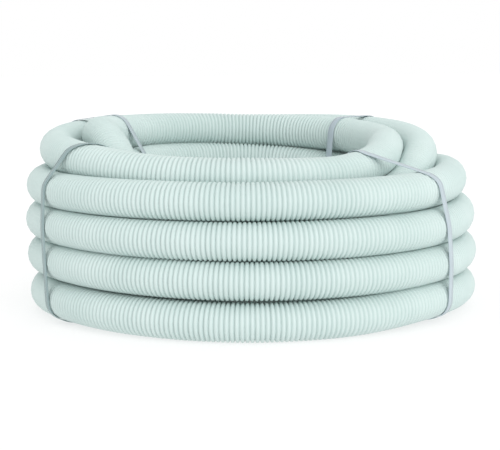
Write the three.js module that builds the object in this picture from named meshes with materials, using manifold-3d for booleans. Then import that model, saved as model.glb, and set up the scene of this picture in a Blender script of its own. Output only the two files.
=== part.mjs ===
// A 10 m length of corrugated waste-water hose, wound into a tied coil.
//
// The hose is one continuous piece, laid anticlockwise seen from above. It starts inside the top
// of the coil, lays four outer turns from the top down, crosses inward on the floor, climbs as an
// inner layer, and ends in three loose turns on top and inside. Four thin bands tie the coil.
//
// Millimetres, +Z up. The coil's axis is the Z axis and it rests on z = 0.
import * as THREE from 'three';
import { mergeVertices } from 'three/addons/utils/BufferGeometryUtils.js';
import Module from 'manifold-3d';

// Hose
const HOSE_DIAMETER = 34;
const HOSE_LENGTH = 10000;
const HOSE_RADIUS = HOSE_DIAMETER / 2;

// Plain solids that stand for the hose: slightly slim, so that neighbours never touch
const TUBE_RADIUS = 14.9;
const RING_TUBE_RADIUS = 16.4;
const TUBE_SIDES = 10;
const STEP_DEGREES = 20;

// Layers of the coil
const OUTER_RADIUS = 193.5;
const INNER_RADIUS = 160;
const RING_FOOT_HEIGHT = 16;
const RING_ROW_PITCH = 33.8;
const OUTER_RING_ROWS = 3;
const INNER_RING_ROWS = 2;
const RING_SEGMENTS = 60;
const SCALLOP_END = THREE.MathUtils.degToRad(62);

// Bands
const BAND_WIDTH = 7.5;
const BAND_THICKNESS = 0.7;
const BAND_GAP = 2;
const BAND_STEP = 8;
const CUT_POINTS = 24;
const BAND_FLOOR_GAP = 0.1;
const BAND_OUTER_RADIUS = 205;
const BAND_INNER_RADIUS = 150;
const NOTCH_MARGIN = 1.6;
const COIL_HEIGHT = 176;

// Each band goes up at its outer direction and down at its inner one, in degrees round the coil,
// and leans round the coil by lean degrees at the coil's full height.
const BANDS = [
  { name: 'band_front_left', outer: 211, inner: 226, lean: -3 },
  { name: 'band_front_right', outer: 326, inner: 313, lean: -1 },
  { name: 'band_rear_left', outer: 159, inner: 159, lean: 0 },
  { name: 'band_rear_right', outer: 44, inner: 44, lean: 0 },
];

const HOSE_COLOUR = 0xd9e6e3;
const BAND_COLOUR = 0xaeb8be;

const TURN = 360;
const degrees = THREE.MathUtils.degToRad;

// The outer layer, from its top row down: the radius and height of the hose's centre line in these
// directions, from the left past the front to the right. The bands lift the lowest row off the floor.
const OUTER_DIRECTIONS = [180, 212, 240, 270, 295, 320, 340, 360];
const OUTER_ROWS = [
  {
    radii: [191, 191, 190, 188.5, 187.5, 187, 186.5, 186.5],
    heights: [116.4, 116.5, 116.9, 116.6, 116.7, 116.8, 118, 119.7],
  },
  {
    radii: [193.5, 193.5, 194, 194, 194, 194, 194, 194],
    heights: [84.4, 85.6, 84.8, 84.4, 83.8, 83.7, 85, 87.2],
  },
  {
    radii: [192.5, 193, 194, 195, 195.5, 196, 196, 196],
    heights: [51.5, 54, 53, 51.4, 51.3, 52, 52.4, 52.7],
  },
  {
    radii: [190.5, 192, 194, 195.5, 195.5, 195, 195, 195],
    heights: [17.2, 19.4, 18, 16.3, 17.2, 20.8, 20.4, 18.2],
  },
];

// The hose's start, before it lies in the outer layer: [degrees, radius, height].
const FIRST_TURN = [
  [25, 157, 111], [55, 158, 117.5], [90, 160, 121], [130, 166, 121], [155, 180.5, 117.5],
];

// The loose turns on top, after the inner layer: [degrees, radius, height]. Zero degrees is the
// right of the coil, 90 the rear, 180 the left and 270 the front.
const TOP_TURNS = [
  [180, 160, 90], [270, 161, 98], [300, 159, 103], [315, 156, 108.5], [330, 155, 117],
  [345, 156, 130], [360, 160, 141.3], [385, 163, 149.5], [405, 165.5, 151.8], [450, 172, 151.5],
  [480, 172.5, 153], [500, 173.5, 154], [520, 177, 153], [540, 179.5, 149.9],
  [565, 176.5, 145.2], [585, 170.8, 140.3], [600, 166, 136.2], [615, 162, 134.6],
  [630, 159.5, 134.2], [645, 155.5, 133], [660, 148.5, 132.4], [675, 141.5, 135.4],
  [690, 135, 140.7], [705, 129, 146.8], [720, 127.5, 148.3], [735, 127.2, 149.3],
  [765, 129.5, 152], [790, 134.5, 152.6], [810, 137.5, 153.5], [840, 138, 156],
  [855, 137.5, 157], [870, 139.5, 157.6], [885, 141.5, 158.8], [900, 141, 159.8],
  [913, 136, 157], [925, 135.5, 148], [935, 139, 136], [945, 141, 124.6],
  [956, 139, 116], [967, 134.5, 112.5], [990, 125.5, 112], [1035, 122.5, 112],
  [1080, 124.5, 113.5], [1125, 125, 117.2], [1150, 124.5, 121.2], [1170, 124, 124],
  [1195, 123.5, 126.3], [1215, 123, 127.3], [1240, 122, 126.3], [1260, 121, 124],
  [1290, 119, 120],
];

// The whole route as stations [degrees, radius, height], with the degrees counted from the start.
function hoseStations() {
  const stations = FIRST_TURN.map((station) => [...station]);
  OUTER_ROWS.forEach((row, index) => {
    const base = index * TURN;
    OUTER_DIRECTIONS.forEach((angle, place) => {
      stations.push([base + angle, row.radii[place], row.heights[place]]);
    });
    const next = OUTER_ROWS[index + 1];
    if (next) stations.push([base + 450, 194, (row.heights.at(-1) + next.heights[0]) / 2]);
  });
  let base = (OUTER_ROWS.length - 1) * TURN;
  stations.push([base + 405, 177.5, 17], [base + 450, 163.5, 17.2], [base + 495, 158.5, 19]);
  base += TURN;
  for (let turn = 0; turn < INNER_RING_ROWS; turn += 1) {
    const height = 24 + turn * HOSE_DIAMETER;
    stations.push([base + 180, 158.5, height], [base + 270, INNER_RADIUS, height + 6]);
    stations.push([base + 360, INNER_RADIUS, height + 15], [base + 450, INNER_RADIUS, height + 27]);
    base += TURN;
  }
  for (const [angle, radius, height] of TOP_TURNS) stations.push([base + angle, radius, height]);
  return stations;
}

const STATIONS = hoseStations();

// Slopes of radius and height at a station, per degree, for the curve through the stations.
function stationSlope(index, column) {
  const before = STATIONS[Math.max(index - 1, 0)];
  const here = STATIONS[index];
  const after = STATIONS[Math.min(index + 1, STATIONS.length - 1)];
  const back = here[0] - before[0];
  const ahead = after[0] - here[0];
  if (back === 0) return (after[column] - here[column]) / ahead;
  if (ahead === 0) return (here[column] - before[column]) / back;
  const slopeBack = (here[column] - before[column]) / back;
  const slopeAhead = (after[column] - here[column]) / ahead;
  return (slopeBack * ahead + slopeAhead * back) / (back + ahead);
}

// The centre line's point at an angle counted from the start: a cubic curve in radius and height.
function routePoint(angle) {
  let index = 0;
  while (index < STATIONS.length - 2 && STATIONS[index + 1][0] < angle) index += 1;
  const from = STATIONS[index];
  const to = STATIONS[index + 1];
  const span = to[0] - from[0];
  const t = (angle - from[0]) / span;
  const value = (column) => {
    const rise = (2 * t ** 3 - 3 * t ** 2 + 1) * from[column] + (3 * t ** 2 - 2 * t ** 3) * to[column];
    const lead = (t ** 3 - 2 * t ** 2 + t) * span * stationSlope(index, column);
    return rise + lead + (t ** 3 - t ** 2) * span * stationSlope(index + 1, column);
  };
  const radius = value(1);
  const turn = degrees(angle);
  return new THREE.Vector3(radius * Math.cos(turn), radius * Math.sin(turn), value(2));
}

// The angle at which the hose has used up its length.
function routeEnd() {
  let angle = STATIONS[0][0];
  let point = routePoint(angle);
  let length = 0;
  while (length < HOSE_LENGTH) {
    angle += 0.25;
    const next = routePoint(angle);
    length += next.distanceTo(point);
    point = next;
  }
  return angle;
}

const ROUTE_END = routeEnd();

// Part of the route as a curve whose parameter runs evenly with the angle.
class HoseRoute extends THREE.Curve {
  constructor(fromDegrees, toDegrees) {
    super();
    this.fromDegrees = fromDegrees;
    this.toDegrees = toDegrees;
  }

  getPoint(t) {
    return routePoint(THREE.MathUtils.lerp(this.fromDegrees, this.toDegrees, t));
  }

  getUtoTmapping(u) {
    return u;
  }
}

function hoseTube(fromDegrees, toDegrees) {
  const section = new THREE.Shape();
  section.absarc(0, 0, TUBE_RADIUS, 0, 2 * Math.PI);
  return new THREE.ExtrudeGeometry(new THREE.Shape(section.getPoints(TUBE_SIDES)), {
    extrudePath: new HoseRoute(fromDegrees, toDegrees),
    steps: Math.round((toDegrees - fromDegrees) / STEP_DEGREES),
  });
}

// A closed outline round stacked turns of hose, scalloped on both sides and flat underneath.
function ringProfile(radius, rows) {
  const steps = 4;
  const side = [];
  for (let row = 0; row < rows; row += 1) {
    const low = row === 0 ? -Math.asin(RING_FOOT_HEIGHT / RING_TUBE_RADIUS) : -SCALLOP_END;
    const high = row === rows - 1 ? Math.PI / 2 : SCALLOP_END;
    for (let step = 0; step <= steps; step += 1) {
      const turn = THREE.MathUtils.lerp(low, high, step / steps);
      const height = RING_FOOT_HEIGHT + row * RING_ROW_PITCH + RING_TUBE_RADIUS * Math.sin(turn);
      side.push([RING_TUBE_RADIUS * Math.cos(turn), height]);
    }
  }
  const outside = side.map(([offset, height]) => new THREE.Vector2(radius + offset, height));
  const inside = side.slice(0, -1).reverse();
  const back = inside.map(([offset, height]) => new THREE.Vector2(radius - offset, height));
  return [...outside, ...back, outside[0].clone()];
}

const wasm = await Module();
wasm.setup();

function toSolid(geometry) {
  const bare = geometry.clone();
  bare.deleteAttribute('normal');
  bare.deleteAttribute('uv');
  const merged = mergeVertices(bare, 1e-4);
  return new wasm.Manifold(new wasm.Mesh({
    numProp: 3,
    vertProperties: new Float32Array(merged.attributes.position.array),
    triVerts: new Uint32Array(merged.index.array),
  }));
}

function toGeometry(solid) {
  const mesh = solid.getMesh();
  const geometry = new THREE.BufferGeometry();
  geometry.setAttribute('position', new THREE.BufferAttribute(new Float32Array(mesh.vertProperties), 3));
  geometry.setIndex(new THREE.BufferAttribute(new Uint32Array(mesh.triVerts), 1));
  geometry.computeVertexNormals();
  return geometry;
}

// A ring of stacked turns about the Z axis.
function hoseRing(radius, rows) {
  const geometry = new THREE.LatheGeometry(ringProfile(radius, rows), RING_SEGMENTS);
  geometry.rotateX(Math.PI / 2);
  return geometry;
}

// A band's chart of the coil: radius, height, and distance round the coil from the band's middle.
function bandChart(band) {
  const azimuthAt = (radius, height) => {
    const inward = (BAND_OUTER_RADIUS - radius) / (BAND_OUTER_RADIUS - BAND_INNER_RADIUS);
    const swing = (band.inner - band.outer) * THREE.MathUtils.clamp(inward, 0, 1);
    return degrees(band.outer + swing + band.lean * height / COIL_HEIGHT);
  };
  return {
    fromCoil(point) {
      const radius = Math.hypot(point.x, point.y);
      const ahead = Math.atan2(point.y, point.x) - azimuthAt(radius, point.z);
      const wrapped = Math.atan2(Math.sin(ahead), Math.cos(ahead));
      return new THREE.Vector3(radius, point.z, radius * wrapped);
    },
    toCoil(point) {
      const azimuth = azimuthAt(point.x, point.y) + point.z / point.x;
      return new THREE.Vector3(point.x * Math.cos(azimuth), point.x * Math.sin(azimuth), point.y);
    },
  };
}

// Moves a point along a straight line of hose until it meets the band's middle.
function slideToBand(point, heading, chart) {
  const probe = 1;
  for (let round = 0; round < 3; round += 1) {
    const here = chart.fromCoil(point).z;
    const there = chart.fromCoil(point.clone().addScaledVector(heading, probe)).z;
    point.addScaledVector(heading, -here * probe / (there - here));
  }
  return point;
}

// The round hose cut along a band's middle: outline points [radius, height] of every turn.
function cutTurns(band) {
  const chart = bandChart(band);
  const upright = new THREE.Vector3(0, 0, 1);
  const points = [];
  for (let angle = STATIONS[0][0]; angle < ROUTE_END; angle += 1) {
    const here = routePoint(angle);
    const next = routePoint(angle + 1);
    const before = chart.fromCoil(here).z;
    const after = chart.fromCoil(next).z;
    if (before * after > 0 || Math.abs(before) > HOSE_DIAMETER) continue;
    const heading = next.clone().sub(here).normalize();
    const side = heading.clone().cross(upright).normalize();
    const up = side.clone().cross(heading);
    for (let step = 0; step < CUT_POINTS; step += 1) {
      const turn = step / CUT_POINTS * 2 * Math.PI;
      const point = here.clone().addScaledVector(side, HOSE_RADIUS * Math.cos(turn));
      point.addScaledVector(up, HOSE_RADIUS * Math.sin(turn));
      const cut = chart.fromCoil(slideToBand(point, heading, chart));
      points.push(new THREE.Vector2(cut.x, cut.y));
    }
  }
  return points;
}

// The taut outline round points, anticlockwise.
function tautOutline(points) {
  const sorted = [...points].sort((a, b) => a.x - b.x || a.y - b.y);
  const half = (ordered) => {
    const chain = [];
    for (const point of ordered) {
      while (chain.length > 1) {
        const [a, b] = chain.slice(-2);
        if ((b.x - a.x) * (point.y - a.y) - (b.y - a.y) * (point.x - a.x) > 0) break;
        chain.pop();
      }
      chain.push(point);
    }
    return chain.slice(0, -1);
  };
  return [...half(sorted), ...half([...sorted].reverse())];
}

// An anticlockwise convex outline moved outward, but never below a floor height.
function grownOutline(outline, distance, floor) {
  return outline.map((point, index) => {
    const before = outline[(index + outline.length - 1) % outline.length];
    const after = outline[(index + 1) % outline.length];
    const normalBack = new THREE.Vector2(point.y - before.y, before.x - point.x).normalize();
    const normalAhead = new THREE.Vector2(after.y - point.y, point.x - after.x).normalize();
    const middle = normalBack.clone().add(normalAhead).normalize();
    const moved = point.clone().addScaledVector(middle, distance / middle.dot(normalBack));
    moved.y = Math.max(moved.y, floor);
    return moved;
  });
}

// An outline with its long edges divided, so that they follow a band's chart.
function dividedOutline(outline) {
  return outline.flatMap((point, index) => {
    const next = outline[(index + 1) % outline.length];
    const count = Math.ceil(point.distanceTo(next) / BAND_STEP);
    return Array.from({ length: count }, (_, step) => point.clone().lerp(next, step / count));
  });
}

// A band's closed loop, or with a margin the space that it needs: a rectangle swept round its outline.
function bandGeometry(band, margin = 0) {
  const taut = dividedOutline(tautOutline(cutTurns(band)));
  const outside = grownOutline(taut, BAND_GAP + BAND_THICKNESS + margin, BAND_FLOOR_GAP - margin);
  const inside = grownOutline(taut, BAND_GAP - margin, BAND_FLOOR_GAP + BAND_THICKNESS + margin);
  const half = BAND_WIDTH / 2 + margin;
  const chart = bandChart(band);
  const positions = [];
  const indices = [];
  outside.forEach((outer, index) => {
    const inner = inside[index];
    for (const [point, across] of [[outer, -half], [outer, half], [inner, half], [inner, -half]]) {
      positions.push(...chart.toCoil(new THREE.Vector3(point.x, point.y, across)).toArray());
    }
    const here = 4 * index;
    const next = 4 * ((index + 1) % outside.length);
    for (let corner = 0; corner < 4; corner += 1) {
      const after = (corner + 1) % 4;
      indices.push(here + corner, next + after, next + corner);
      indices.push(here + corner, here + after, next + after);
    }
  });
  const geometry = new THREE.BufferGeometry();
  geometry.setAttribute('position', new THREE.Float32BufferAttribute(positions, 3));
  geometry.setIndex(indices);
  geometry.computeVertexNormals();
  return geometry;
}

const hosePlastic = new THREE.MeshStandardMaterial({ color: HOSE_COLOUR, roughness: 0.5, metalness: 0 });
const bandPlastic = new THREE.MeshStandardMaterial({ color: BAND_COLOUR, roughness: 0.35, metalness: 0 });

const coil = new THREE.Group();

function addPiece(name, geometry, material) {
  const mesh = new THREE.Mesh(geometry, material);
  mesh.name = name;
  coil.add(mesh);
}

// The layered turns, with a shallow notch where each band passes underneath.
function addRing(name, radius, rows) {
  let solid = toSolid(hoseRing(radius, rows));
  for (const band of BANDS) solid = solid.subtract(toSolid(bandGeometry(band, NOTCH_MARGIN)));
  addPiece(name, toGeometry(solid), hosePlastic);
}

addRing('hose_outer_turns', OUTER_RADIUS, OUTER_RING_ROWS);
addRing('hose_inner_turns', INNER_RADIUS, INNER_RING_ROWS);

// The first turn lies on the outer turns, and the last ones lie on both layers.
const FIRST_TURN_END = STATIONS[0][0] + TURN;
const TOP_TURNS_START = STATIONS[0][0] + 111 * STEP_DEGREES;
addPiece('hose_first_turn', hoseTube(STATIONS[0][0], FIRST_TURN_END), hosePlastic);
addPiece('hose_top_turns', hoseTube(TOP_TURNS_START, ROUTE_END), hosePlastic);

for (const band of BANDS) addPiece(band.name, bandGeometry(band), bandPlastic);

export default coil;
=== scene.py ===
"""A 10 m coil of corrugated waste hose, tied with four flat bands, on a plain pale floor.

The hose is one ribbed tube along the route that its plain solids follow, pressed flat where its turns
touch, and hollow at its two cut ends. Each band is a welded strip, drawn tight round the turns it holds.
Metres, +Z up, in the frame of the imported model.
"""
import math

import bpy
import numpy as np
from mathutils import Matrix, Vector
from mathutils.kdtree import KDTree


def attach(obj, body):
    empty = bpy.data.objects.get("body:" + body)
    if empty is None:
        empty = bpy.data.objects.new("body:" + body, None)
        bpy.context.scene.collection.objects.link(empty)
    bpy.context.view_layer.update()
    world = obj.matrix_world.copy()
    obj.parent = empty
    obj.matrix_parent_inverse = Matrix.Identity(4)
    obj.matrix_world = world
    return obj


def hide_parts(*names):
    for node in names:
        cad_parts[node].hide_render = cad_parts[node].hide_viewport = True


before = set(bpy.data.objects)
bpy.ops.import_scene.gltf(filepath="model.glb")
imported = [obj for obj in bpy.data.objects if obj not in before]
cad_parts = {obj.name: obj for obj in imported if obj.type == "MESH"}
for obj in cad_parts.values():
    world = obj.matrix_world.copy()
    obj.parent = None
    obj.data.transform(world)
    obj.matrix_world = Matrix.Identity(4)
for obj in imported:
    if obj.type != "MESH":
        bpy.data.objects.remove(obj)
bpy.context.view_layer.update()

# Hose
HOSE_DIAMETER = 0.034
HOSE_RADIUS = HOSE_DIAMETER / 2
HOSE_LENGTH = 10.0
RIB_COUNT = 2500
RIB_SIDES = 20
RIB_PROFILE = [  # (place in a rib's pitch, depth below its crest), from the bottom of a groove
    (0.0, 0.0024), (0.13, 0.0011), (0.32, 0.0001), (0.68, 0.0001), (0.87, 0.0011),
]
GROOVE_VARIATION = 0.00012
CONTACT_GAP = 0.0003
SAME_STRAND = 0.12  # ribs nearer than this along the hose don't press on each other
CURVE_STEP = 0.25  # degrees
PATH_STEP = 0.01

# The bore, which is modelled as far in from each cut end as anyone can look
BORE_RADIUS = 0.01425
BORE_DEPTH = 0.16
BORE_RINGS = 40
BORE_RIPPLE = 0.0003
LIP_ROUNDING = 0.0004

# Coil. Directions are in degrees: 0 is the right of the coil, 90 the rear, 180 the left and 270 the front.
COIL_HEIGHT = 0.176
TURN = 360

# The outer layer, from its top row down: the radius and height of the hose's centre line in these
# directions, from the left past the front to the right. The bands lift the lowest row off the floor.
# At the rear each row passes down to the next.
OUTER_DIRECTIONS = [180, 212, 240, 270, 295, 320, 340, 360]
OUTER_RADII = [
    [0.191, 0.191, 0.190, 0.1885, 0.1875, 0.187, 0.1865, 0.1865],
    [0.1935, 0.1935, 0.194, 0.194, 0.194, 0.194, 0.194, 0.194],
    [0.1925, 0.193, 0.194, 0.195, 0.1955, 0.196, 0.196, 0.196],
    [0.1905, 0.192, 0.194, 0.1955, 0.1955, 0.195, 0.195, 0.195],
]
OUTER_HEIGHTS = [
    [0.1164, 0.1165, 0.1169, 0.1166, 0.1167, 0.1168, 0.118, 0.1197],
    [0.0844, 0.0856, 0.0848, 0.0844, 0.0838, 0.0837, 0.085, 0.0872],
    [0.0515, 0.054, 0.053, 0.0514, 0.0513, 0.052, 0.0524, 0.0527],
    [0.0172, 0.0194, 0.018, 0.0163, 0.0172, 0.0208, 0.0204, 0.0182],
]

ROW_CHANGE_DIRECTION = 450
ROW_CHANGE_RADIUS = 0.194

# The hose's start, before it lies in the outer layer: (degrees, radius, height).
FIRST_STATIONS = [
    (25, 0.157, 0.111), (55, 0.158, 0.1175), (90, 0.160, 0.121), (130, 0.166, 0.121),
    (155, 0.1805, 0.1175),
]

# The crossing on the floor, from the lowest outer row to the inner layer.
CROSSING = [(405, 0.1775, 0.017), (450, 0.1635, 0.0172), (495, 0.1585, 0.019)]

# One turn of the inner layer, with the heights above the turn's start.
INNER_TURNS = 2
INNER_FOOT = 0.024
INNER_TURN = [(180, 0.1585, 0), (270, 0.160, 0.006), (360, 0.160, 0.015), (450, 0.160, 0.027)]

# The loose turns on top, after the inner layer.
TOP_TURNS = [
    (180, 0.16, 0.09), (270, 0.161, 0.098), (300, 0.159, 0.103), (315, 0.156, 0.1085),
    (330, 0.155, 0.117), (345, 0.156, 0.13), (360, 0.16, 0.1413), (385, 0.163, 0.1495),
    (405, 0.1655, 0.1518), (450, 0.172, 0.1515), (480, 0.1725, 0.153), (500, 0.1735, 0.154),
    (520, 0.177, 0.153), (540, 0.1795, 0.1499), (565, 0.1765, 0.1452), (585, 0.1708, 0.1403),
    (600, 0.166, 0.1362), (615, 0.162, 0.1346), (630, 0.1595, 0.1342), (645, 0.1555, 0.133),
    (660, 0.1485, 0.1324), (675, 0.1415, 0.1354), (690, 0.135, 0.1407), (705, 0.129, 0.1468),
    (720, 0.1275, 0.1483), (735, 0.1272, 0.1493), (765, 0.1295, 0.152), (790, 0.1345, 0.1526),
    (810, 0.1375, 0.1535), (840, 0.138, 0.156), (855, 0.1375, 0.157), (870, 0.1395, 0.1576),
    (885, 0.1415, 0.1588), (900, 0.141, 0.1598), (913, 0.136, 0.157), (925, 0.1355, 0.148),
    (935, 0.139, 0.136), (945, 0.141, 0.1246), (956, 0.139, 0.116), (967, 0.1345, 0.1125),
    (990, 0.1255, 0.112), (1035, 0.1225, 0.112), (1080, 0.1245, 0.1135), (1125, 0.125, 0.1172),
    (1150, 0.1245, 0.1212), (1170, 0.124, 0.124), (1195, 0.1235, 0.1263), (1215, 0.123, 0.1273),
    (1240, 0.122, 0.1263), (1260, 0.121, 0.124), (1290, 0.119, 0.12),
]

# Bands: direction of the outer run and of the inner run, and how far the band leans round the coil at
# the coil's full height, all in degrees.
BANDS = {
    "band_front_left": (211, 226, -3),
    "band_front_right": (326, 313, -1),
    "band_rear_left": (159, 159, 0),
    "band_rear_right": (44, 44, 0),
}
WELDED_OUTSIDE = ("band_rear_left", "band_rear_right")
BAND_SHADED_AND_LIT_TINTS = {  # the dark and the pale of each band's streaks, with painted shade and painted light: the front-left band darkest as if shaded, the front-right band palest as if lit from the right
    "band_front_left": ((0.17, 0.26, 0.26), (0.42, 0.55, 0.56)),
    "band_front_right": ((0.36, 0.44, 0.48), (0.66, 0.75, 0.80)),
    "band_rear_left": ((0.34, 0.42, 0.45), (0.60, 0.69, 0.73)),
    "band_rear_right": ((0.30, 0.38, 0.42), (0.56, 0.65, 0.71)),
}
WELD_HEIGHT = 0.07
WELD_LENGTH = 0.026
WELD_SHIFT = 0.0004
WELD_GAP = 0.00002
WELD_RIPPLE = 0.00012
WELD_RIPPLE_STEP = 2.1  # radians
BAND_WIDTH = 0.0075
BAND_THICKNESS = 0.0006
BAND_EDGE = 0.0002
BAND_CLEARANCE = 0.00015
BAND_FLOOR_GAP = 0.00005
BAND_STEP = 0.0015
BAND_OUTER_RADIUS = 0.205
BAND_INNER_RADIUS = 0.150
CUT_POINTS = 48
CUT_ROUNDS = 4
CUT_PROBE = 0.001

# Camera, floor and lamp
CAMERA_PLACE = (0, -1.5128, 0.268)
CAMERA_DIP = 7.339
CAMERA_ROLL = -0.437
CAMERA_LENS = 115.67
CAMERA_SENSOR = 36
FLOOR_HALF_WIDTH = 6
KEY_PLACE = (1.0, -2.0, 0.85)
KEY_STRENGTH = 1.08
KEY_SOFTNESS = 50


# -------------------------------------------------------------------------------------------- camera

def add_camera():
    """The camera stands in front of the coil, a little above it, and looks along +Y and slightly down."""
    camera = bpy.data.objects.new("camera", bpy.data.cameras.new("camera"))
    bpy.context.scene.collection.objects.link(camera)
    camera.location = CAMERA_PLACE
    camera.rotation_mode = "XYZ"
    camera.rotation_euler = (math.radians(90 - CAMERA_DIP), 0, 0)
    camera.data.sensor_width = CAMERA_SENSOR
    camera.data.lens = CAMERA_LENS
    camera.data.clip_start = 0.05
    camera.data.clip_end = 30
    camera.matrix_basis = camera.matrix_basis @ Matrix.Rotation(math.radians(CAMERA_ROLL), 4, "Z")
    bpy.context.scene.camera = camera


add_camera()


# ------------------------------------------------------------------------------------- hose geometry

def hose_stations():
    """The whole route as (degrees from the start, radius, height)."""
    stations = list(FIRST_STATIONS)
    for index, (radii, heights) in enumerate(zip(OUTER_RADII, OUTER_HEIGHTS)):
        base = index * TURN
        stations += [(base + angle, radius, height)
                     for angle, radius, height in zip(OUTER_DIRECTIONS, radii, heights)]
        if index + 1 < len(OUTER_HEIGHTS):
            between = (heights[-1] + OUTER_HEIGHTS[index + 1][0]) / 2
            stations.append((base + ROW_CHANGE_DIRECTION, ROW_CHANGE_RADIUS, between))
    stations += [(base + angle, radius, height) for angle, radius, height in CROSSING]
    for turn in range(INNER_TURNS):
        base += TURN
        foot = INNER_FOOT + turn * HOSE_DIAMETER
        stations += [(base + angle, radius, foot + rise) for angle, radius, rise in INNER_TURN]
    base += TURN
    stations += [(base + angle, radius, height) for angle, radius, height in TOP_TURNS]
    return np.array(stations, float)


STATIONS = hose_stations()


def station_slopes():
    """Slopes of radius and height at the stations, per degree."""
    step = np.diff(STATIONS[:, 0])[:, None]
    slope = np.diff(STATIONS[:, 1:], axis=0) / step
    middle = (slope[:-1] * step[1:] + slope[1:] * step[:-1]) / (step[:-1] + step[1:])
    return np.vstack([slope[:1], middle, slope[-1:]])


SLOPES = station_slopes()


def route_points(angles):
    """Points of the centre line at these angles: a cubic curve in radius and height."""
    angles = np.asarray(angles, float)
    index = np.clip(np.searchsorted(STATIONS[:, 0], angles, "right") - 1, 0, len(STATIONS) - 2)
    span = (STATIONS[index + 1, 0] - STATIONS[index, 0])[:, None]
    t = (angles[:, None] - STATIONS[index, 0:1]) / span
    values = ((2 * t**3 - 3 * t**2 + 1) * STATIONS[index, 1:]
              + (3 * t**2 - 2 * t**3) * STATIONS[index + 1, 1:]
              + (t**3 - 2 * t**2 + t) * span * SLOPES[index]
              + (t**3 - t**2) * span * SLOPES[index + 1])
    turn = np.radians(angles)
    return np.stack([values[:, 0] * np.cos(turn), values[:, 0] * np.sin(turn), values[:, 1]], 1)


def unit(vectors):
    """Vectors at length 1."""
    return vectors / np.linalg.norm(vectors, axis=-1, keepdims=True)


class Route:
    """The hose's centre line, measured along its length."""

    def __init__(self):
        self.angles = np.arange(STATIONS[0, 0], STATIONS[-1, 0], CURVE_STEP)
        points = route_points(self.angles)
        steps = np.linalg.norm(np.diff(points, axis=0), axis=1)
        self.lengths = np.concatenate([[0], np.cumsum(steps)])

    def angle_at(self, lengths):
        return np.interp(lengths, self.lengths, self.angles)

    def frames_at(self, lengths):
        """Centre, heading, sideways and upward directions at these lengths."""
        angle = self.angle_at(lengths)
        centre = route_points(angle)
        ahead = route_points(np.minimum(angle + CURVE_STEP, STATIONS[-1, 0]))
        behind = route_points(np.maximum(angle - CURVE_STEP, STATIONS[0, 0]))
        heading = unit(ahead - behind)
        side = unit(np.cross(heading, (0, 0, 1)))
        return centre, heading, side, np.cross(side, heading)


ROUTE = Route()


def strand_contacts(centres, spacing):
    """For each rib, the neighbouring strands' closest centres that are less than a diameter away."""
    apart = int(SAME_STRAND / spacing)
    contacts = [[] for _ in centres]
    for index, centre in enumerate(centres):
        distance = np.linalg.norm(centres - centre, axis=1)
        distance[max(0, index - apart):index + apart + 1] = 1
        near = np.flatnonzero(distance < HOSE_DIAMETER + CONTACT_GAP)
        if not len(near):
            continue
        groups = np.split(near, np.flatnonzero(np.diff(near) > 1) + 1)
        contacts[index] = [centres[group[np.argmin(distance[group])]] for group in groups]
    return contacts


def press(points, centre, neighbours):
    """Flattens a ring of points where a neighbouring strand pushes against it."""
    for neighbour in neighbours:
        away = neighbour - centre
        away = away / np.linalg.norm(away)
        past = (points - (centre + neighbour) / 2) @ away + CONTACT_GAP / 2
        points = points - np.clip(past, 0, None)[:, None] * away
    return points


def hose_rings():
    """The hose's rings of points in order: out of the bore, over the cut end, along the ribs, and back in."""
    pitch = HOSE_LENGTH / RIB_COUNT
    random = np.random.default_rng(4)
    rib_starts = np.arange(RIB_COUNT) * pitch
    rib_centres = ROUTE.frames_at(rib_starts + pitch / 2)[0]
    contacts = strand_contacts(rib_centres, pitch)
    turn = np.arange(RIB_SIDES) / RIB_SIDES * 2 * math.pi
    circle = np.stack([np.cos(turn), np.sin(turn)], 1)

    def rings(lengths, radii):
        centre, _, side, up = ROUTE.frames_at(lengths)
        offsets = circle[None, :, 0:1] * side[:, None] + circle[None, :, 1:2] * up[:, None]
        return centre[:, None] + offsets * np.asarray(radii)[:, None, None]

    variation = random.normal(0, GROOVE_VARIATION, RIB_COUNT)
    lengths = []
    radii = []
    owners = []
    for fraction, depth in RIB_PROFILE:
        lengths.append(rib_starts + fraction * pitch)
        radii.append(HOSE_RADIUS - depth + variation * depth / RIB_PROFILE[0][1])
        owners.append(np.arange(RIB_COUNT))
    lengths = np.stack(lengths, 1).ravel()
    radii = np.stack(radii, 1).ravel()
    owners = np.stack(owners, 1).ravel()
    outer = rings(lengths, radii)
    for index, owner in enumerate(owners):
        if contacts[owner]:
            centre = outer[index].mean(axis=0)
            outer[index] = press(outer[index], centre, contacts[owner])
    outer[..., 2] = np.maximum(outer[..., 2], 0)
    last = float(lengths[-1])
    bore_in = np.linspace(BORE_DEPTH, LIP_ROUNDING, BORE_RINGS)
    bore_out = last - bore_in[::-1]
    bore_radii = BORE_RADIUS + BORE_RIPPLE * np.sin(bore_in / pitch * 2 * math.pi)
    start = rings(bore_in, bore_radii)
    end = rings(bore_out, bore_radii[::-1])
    lip_start = rings([0.0], [BORE_RADIUS + LIP_ROUNDING])
    lip_end = rings([last], [BORE_RADIUS + LIP_ROUNDING])
    return np.concatenate([start, lip_start, outer, lip_end, end])


def tube_mesh(name, rings):
    """A closed mesh through rings of points, with a fan at each end."""
    count, sides = rings.shape[:2]
    ring = np.arange(count - 1)[:, None] * sides
    here = np.arange(sides)[None]
    after = (here + 1) % sides
    quads = np.stack([ring + here, ring + after, ring + sides + after, ring + sides + here], 2).reshape(-1, 4)
    vertices = np.concatenate([rings.reshape(-1, 3), rings[:1].mean(1), rings[-1:].mean(1)])
    first, last = count * sides, count * sides + 1
    fans = [(first, (i + 1) % sides, i) for i in range(sides)]
    base = (count - 1) * sides
    fans += [(last, base + i, base + (i + 1) % sides) for i in range(sides)]
    mesh = bpy.data.meshes.new(name)
    mesh.from_pydata(vertices.tolist(), [], quads.tolist() + fans)
    mesh.shade_smooth()
    piece = bpy.data.objects.new(name, mesh)
    bpy.context.scene.collection.objects.link(piece)
    return piece


# --------------------------------------------------------------------------------------------- bands

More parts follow.
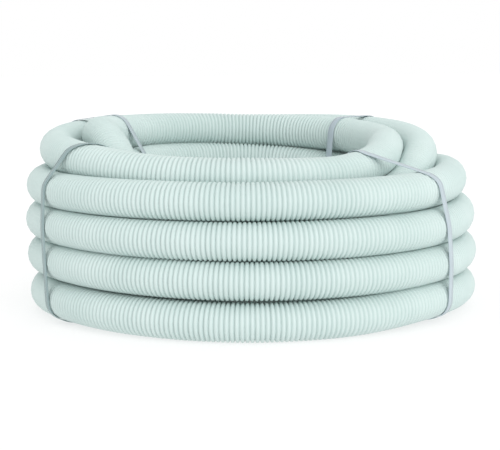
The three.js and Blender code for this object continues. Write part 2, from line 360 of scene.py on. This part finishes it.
def band_azimuth(band, radius, height):
    """The direction of a band's middle at this radius and height, in radians."""
    outer, inner, lean = band
    inward = np.clip((BAND_OUTER_RADIUS - radius) / (BAND_OUTER_RADIUS - BAND_INNER_RADIUS), 0, 1)
    return np.radians(outer + (inner - outer) * inward + lean * height / COIL_HEIGHT)


def band_offset(band, points):
    """How far round the coil points are from a band's middle."""
    radius = np.hypot(points[:, 0], points[:, 1])
    ahead = np.arctan2(points[:, 1], points[:, 0]) - band_azimuth(band, radius, points[:, 2])
    return radius * np.arctan2(np.sin(ahead), np.cos(ahead))


def cut_turns(band):
    """Where a band's middle meets the round hose: (radius, height) points of every turn."""
    angles = np.arange(STATIONS[0, 0], ROUTE.angle_at(HOSE_LENGTH), 1.0)
    centres = route_points(angles)
    offset = band_offset(band, centres)
    crossing = np.flatnonzero((offset[:-1] * offset[1:] <= 0) & (np.abs(offset[:-1]) < HOSE_DIAMETER))
    turn = np.arange(CUT_POINTS) / CUT_POINTS * 2 * math.pi
    found = []
    for index in crossing:
        heading = unit(centres[index + 1] - centres[index])
        side = unit(np.cross(heading, (0, 0, 1)))
        up = np.cross(side, heading)
        points = centres[index] + HOSE_RADIUS * (np.cos(turn)[:, None] * side + np.sin(turn)[:, None] * up)
        for _ in range(CUT_ROUNDS):
            here = band_offset(band, points)
            there = band_offset(band, points + heading * CUT_PROBE)
            points = points - (here * CUT_PROBE / (there - here))[:, None] * heading
        found.append(np.stack([np.hypot(points[:, 0], points[:, 1]), points[:, 2]], 1))
    return np.concatenate(found)


def taut_outline(points):
    """The convex outline round points, anticlockwise."""
    ordered = points[np.lexsort((points[:, 1], points[:, 0]))]

    def half(run):
        chain = []
        for point in run:
            while len(chain) > 1:
                (ax, ay), (bx, by) = chain[-2:]
                if (bx - ax) * (point[1] - ay) - (by - ay) * (point[0] - ax) > 0:
                    break
                chain.pop()
            chain.append(tuple(point))
        return chain[:-1]

    return np.array(half(ordered) + half(ordered[::-1]))


def band_path(band):
    """A band's middle line as a closed loop of evenly spaced points, with the ways across it and outward."""
    outline = taut_outline(cut_turns(band))
    outline[:, 1] = np.maximum(outline[:, 1], 0)
    azimuth = band_azimuth(band, outline[:, 0], outline[:, 1])
    corners = np.stack([outline[:, 0] * np.cos(azimuth), outline[:, 0] * np.sin(azimuth), outline[:, 1]], 1)
    closed = np.vstack([corners, corners[:1]])
    steps = np.linalg.norm(np.diff(closed, axis=0), axis=1)
    along = np.concatenate([[0], np.cumsum(steps)])
    count = int(along[-1] / BAND_STEP)
    even = np.linspace(0, along[-1], count, endpoint=False)
    points = np.stack([np.interp(even, along, closed[:, axis]) for axis in range(3)], 1)
    for _ in range(2):
        points = (np.roll(points, 1, 0) + 2 * points + np.roll(points, -1, 0)) / 4
    heading = unit(np.roll(points, -1, 0) - np.roll(points, 1, 0))
    azimuth = np.arctan2(points[:, 1], points[:, 0])
    across = np.stack([-np.sin(azimuth), np.cos(azimuth), np.zeros(count)], 1)
    across = unit(across - heading * np.sum(across * heading, 1, keepdims=True))
    outward = unit(np.cross(across, heading))
    middle = points.mean(0)
    outward *= np.sign(np.sum(outward * (points - middle), 1).sum())
    return points, across, outward


def strip_section():
    """A band's cross-section with eased edges: (across, outward) points."""
    half_width = BAND_WIDTH / 2
    half_thick = BAND_THICKNESS / 2
    return [(-half_width, -half_thick + BAND_EDGE), (-half_width + BAND_EDGE, -half_thick),
            (half_width - BAND_EDGE, -half_thick), (half_width, -half_thick + BAND_EDGE),
            (half_width, half_thick - BAND_EDGE), (half_width - BAND_EDGE, half_thick),
            (-half_width + BAND_EDGE, half_thick), (-half_width, half_thick - BAND_EDGE)]


def strip_faces(count, sides, closed):
    """Quads along a swept strip, and its two end faces where it isn't closed."""
    faces = []
    for ring in range(count if closed else count - 1):
        after = (ring + 1) % count
        for i in range(sides):
            j = (i + 1) % sides
            faces.append((ring * sides + i, after * sides + i, after * sides + j, ring * sides + j))
    if not closed:
        faces.append(tuple(range(sides)))
        faces.append(tuple(range(count * sides - 1, (count - 1) * sides - 1, -1)))
    return faces


def weld_places(points, outside):
    """The stretch of a band's loop where its two ends overlap."""
    radius = np.hypot(points[:, 0], points[:, 1])
    far = radius > radius.mean()
    distance = np.abs(points[:, 2] - WELD_HEIGHT) + np.where(far == outside, 0, 1)
    half = int(WELD_LENGTH / BAND_STEP / 2)
    return (int(np.argmin(distance)) + np.arange(-half, half + 1)) % len(points)


def add_band(name, band, outside):
    """One flat band: a strip round its loop, with its two ends welded one over the other."""
    points, across, outward = band_path(band)
    section = strip_section()
    middle = points + outward * (BAND_CLEARANCE + BAND_THICKNESS / 2)
    middle[:, 2] = np.maximum(middle[:, 2], BAND_THICKNESS / 2 + BAND_FLOOR_GAP)
    loop = np.stack([middle + across * x + outward * y for x, y in section], 1)
    places = weld_places(points, outside)
    ripple = WELD_RIPPLE * np.sin(np.arange(len(places)) * WELD_RIPPLE_STEP)
    lift = BAND_THICKNESS + WELD_GAP + ripple
    top = middle[places] + outward[places] * lift[:, None] + across[places] * WELD_SHIFT
    lap = np.stack([top + across[places] * x + outward[places] * y for x, y in section], 1)
    faces = strip_faces(len(loop), len(section), True)
    start = loop.shape[0] * loop.shape[1]
    faces += [tuple(start + corner for corner in face)
              for face in strip_faces(len(lap), len(section), False)]
    vertices = np.concatenate([loop.reshape(-1, 3), lap.reshape(-1, 3)])
    mesh = bpy.data.meshes.new(name)
    mesh.from_pydata(vertices.tolist(), [], faces)
    mesh.shade_smooth()
    mark_along(mesh, points, across)
    piece = bpy.data.objects.new(name, mesh)
    bpy.context.scene.collection.objects.link(piece)
    return piece


def mark_along(mesh, points, across):
    """Stores each vertex's distance along the band and across it, for the material's streaks."""
    marks = mesh.attributes.new("along", "FLOAT_VECTOR", "POINT")
    tree = KDTree(len(points))
    for index, point in enumerate(points):
        tree.insert(point, index)
    tree.balance()
    for index, vertex in enumerate(mesh.vertices):
        _, place, _ = tree.find(vertex.co)
        sideways = float(np.dot(np.array(vertex.co) - points[place], across[place]))
        marks.data[index].vector = (place * BAND_STEP, sideways, 0)


# ----------------------------------------------------------------------------------------- materials

NOISE_LOW = 0.3
NOISE_HIGH = 0.7


def new_material(name):
    """A material's parts: itself, its nodes, its links and its shader."""
    material = bpy.data.materials.new(name)
    material.use_nodes = True
    nodes = material.node_tree.nodes
    return material, nodes, material.node_tree.links, nodes["Principled BSDF"]


def noise(nodes, links, place, scale, detail):
    """Noise at a place, about 0.5 and mostly between NOISE_LOW and NOISE_HIGH."""
    texture = nodes.new("ShaderNodeTexNoise")
    texture.inputs["Scale"].default_value = scale
    texture.inputs["Detail"].default_value = detail
    links.new(place, texture.inputs["Vector"])
    return texture.outputs["Fac"]


def spread(nodes, links, value, low, high):
    """A noise value brought to between low and high."""
    ranging = nodes.new("ShaderNodeMapRange")
    ranging.inputs["From Min"].default_value = NOISE_LOW
    ranging.inputs["From Max"].default_value = NOISE_HIGH
    ranging.inputs["To Min"].default_value = low
    ranging.inputs["To Max"].default_value = high
    links.new(value, ranging.inputs["Value"])
    return ranging.outputs["Result"]


def tint(nodes, links, value, dark, light):
    """A colour from dark to light by a value from 0 to 1."""
    ramp = nodes.new("ShaderNodeValToRGB")
    ramp.color_ramp.elements[0].color = (*dark, 1)
    ramp.color_ramp.elements[1].color = (*light, 1)
    links.new(value, ramp.inputs["Fac"])
    return ramp.outputs["Color"]


def bump(nodes, links, value, strength, distance):
    """Surface relief as high as distance, from a value from 0 to 1."""
    bumping = nodes.new("ShaderNodeBump")
    bumping.inputs["Strength"].default_value = strength
    bumping.inputs["Distance"].default_value = distance
    links.new(value, bumping.inputs["Height"])
    return bumping.outputs["Normal"]


def hose_plastic():
    """Pale moulded polyethylene: faint clouding along the hose, fine mottling and a soft sheen."""
    material, nodes, links, shader = new_material("hose_plastic")
    place = nodes.new("ShaderNodeTexCoord").outputs["Object"]
    cloud = spread(nodes, links, noise(nodes, links, place, 22, 4), 0, 0.75)
    mottle = noise(nodes, links, place, 420, 3)
    both = nodes.new("ShaderNodeMath")
    both.operation = "MULTIPLY_ADD"
    both.inputs[1].default_value = 0.25
    links.new(mottle, both.inputs[0])
    links.new(cloud, both.inputs[2])
    colour = tint(nodes, links, both.outputs["Value"], (0.542, 0.658, 0.638), (0.606, 0.712, 0.694))
    links.new(colour, shader.inputs["Base Color"])
    links.new(spread(nodes, links, mottle, 0.40, 0.54), shader.inputs["Roughness"])
    links.new(bump(nodes, links, mottle, 0.12, 0.0004), shader.inputs["Normal"])
    shader.inputs["Specular IOR Level"].default_value = 0.35
    return material


def band_plastic(name, dark, pale):
    """Extruded strapping: glossy, slightly clear, with fine dark and pale streaks along its length."""
    material, nodes, links, shader = new_material(name)
    along = nodes.new("ShaderNodeAttribute")
    along.attribute_name = "along"
    stretch = nodes.new("ShaderNodeVectorMath")
    stretch.operation = "MULTIPLY"
    stretch.inputs[1].default_value = (14, 1500, 1)
    links.new(along.outputs["Vector"], stretch.inputs[0])
    streaks = noise(nodes, links, stretch.outputs["Vector"], 1, 3)
    links.new(tint(nodes, links, streaks, dark, pale), shader.inputs["Base Color"])
    links.new(spread(nodes, links, streaks, 0.20, 0.36), shader.inputs["Roughness"])
    links.new(bump(nodes, links, streaks, 0.25, 0.0003), shader.inputs["Normal"])
    shader.inputs["Alpha"].default_value = 0.85
    return material


def lit_table():
    """A matt white table, lit from below as well, so that shadows on it stay faint."""
    material, nodes, links, shader = new_material("lit_table")
    shader.inputs["Base Color"].default_value = (0.32, 0.32, 0.32, 1)
    shader.inputs["Roughness"].default_value = 0.9
    shader.inputs["Emission Color"].default_value = (1, 1, 1, 1)
    shader.inputs["Emission Strength"].default_value = 0.66
    return material


# --------------------------------------------------------------------------------- floor and lights

def add_floor():
    """A square table top at z = 0."""
    mesh = bpy.data.meshes.new("floor")
    half = FLOOR_HALF_WIDTH
    corners = [(-half, -half, 0), (half, -half, 0), (half, half, 0), (-half, half, 0)]
    mesh.from_pydata(corners, [], [(0, 1, 2, 3)])
    floor = bpy.data.objects.new("floor", mesh)
    bpy.context.scene.collection.objects.link(floor)
    mesh.materials.append(lit_table())


def add_sun(name, place, strength, softness):
    """A wide, soft studio lamp far away in the direction of place."""
    lamp = bpy.data.lights.new(name, "SUN")
    lamp.energy = strength
    lamp.angle = math.radians(softness)
    piece = bpy.data.objects.new(name, lamp)
    bpy.context.scene.collection.objects.link(piece)
    piece.location = place
    piece.rotation_euler = (-Vector(place)).to_track_quat("-Z", "Y").to_euler()


def add_world():
    """Even white light from all round."""
    world = bpy.data.worlds.new("studio")
    bpy.context.scene.world = world
    world.use_nodes = True
    background = world.node_tree.nodes["Background"]
    background.inputs["Color"].default_value = (1, 1, 1, 1)
    background.inputs["Strength"].default_value = 1.0


# -------------------------------------------------------------------------------------------- making

hose = tube_mesh("hose", hose_rings())
hose.data.materials.append(hose_plastic())
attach(hose, "root")
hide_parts("hose_outer_turns", "hose_inner_turns", "hose_first_turn", "hose_top_turns")
PATH = ROUTE.frames_at(np.arange(0, HOSE_LENGTH + PATH_STEP / 10, PATH_STEP))[0]

for band_name, band in BANDS.items():
    piece = add_band(band_name + "_strip", band, band_name in WELDED_OUTSIDE)
    # Each band's streak colours carry painted shade or painted light: darker on the front-left band, paler on
    # the front-right band
    piece.data.materials.append(band_plastic(band_name + "_plastic", *BAND_SHADED_AND_LIT_TINTS[band_name]))
    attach(piece, "root")
    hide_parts(band_name)

add_floor()
add_world()
add_sun("key", KEY_PLACE, KEY_STRENGTH, KEY_SOFTNESS)
bpy.context.scene.view_settings.view_transform = "Standard"
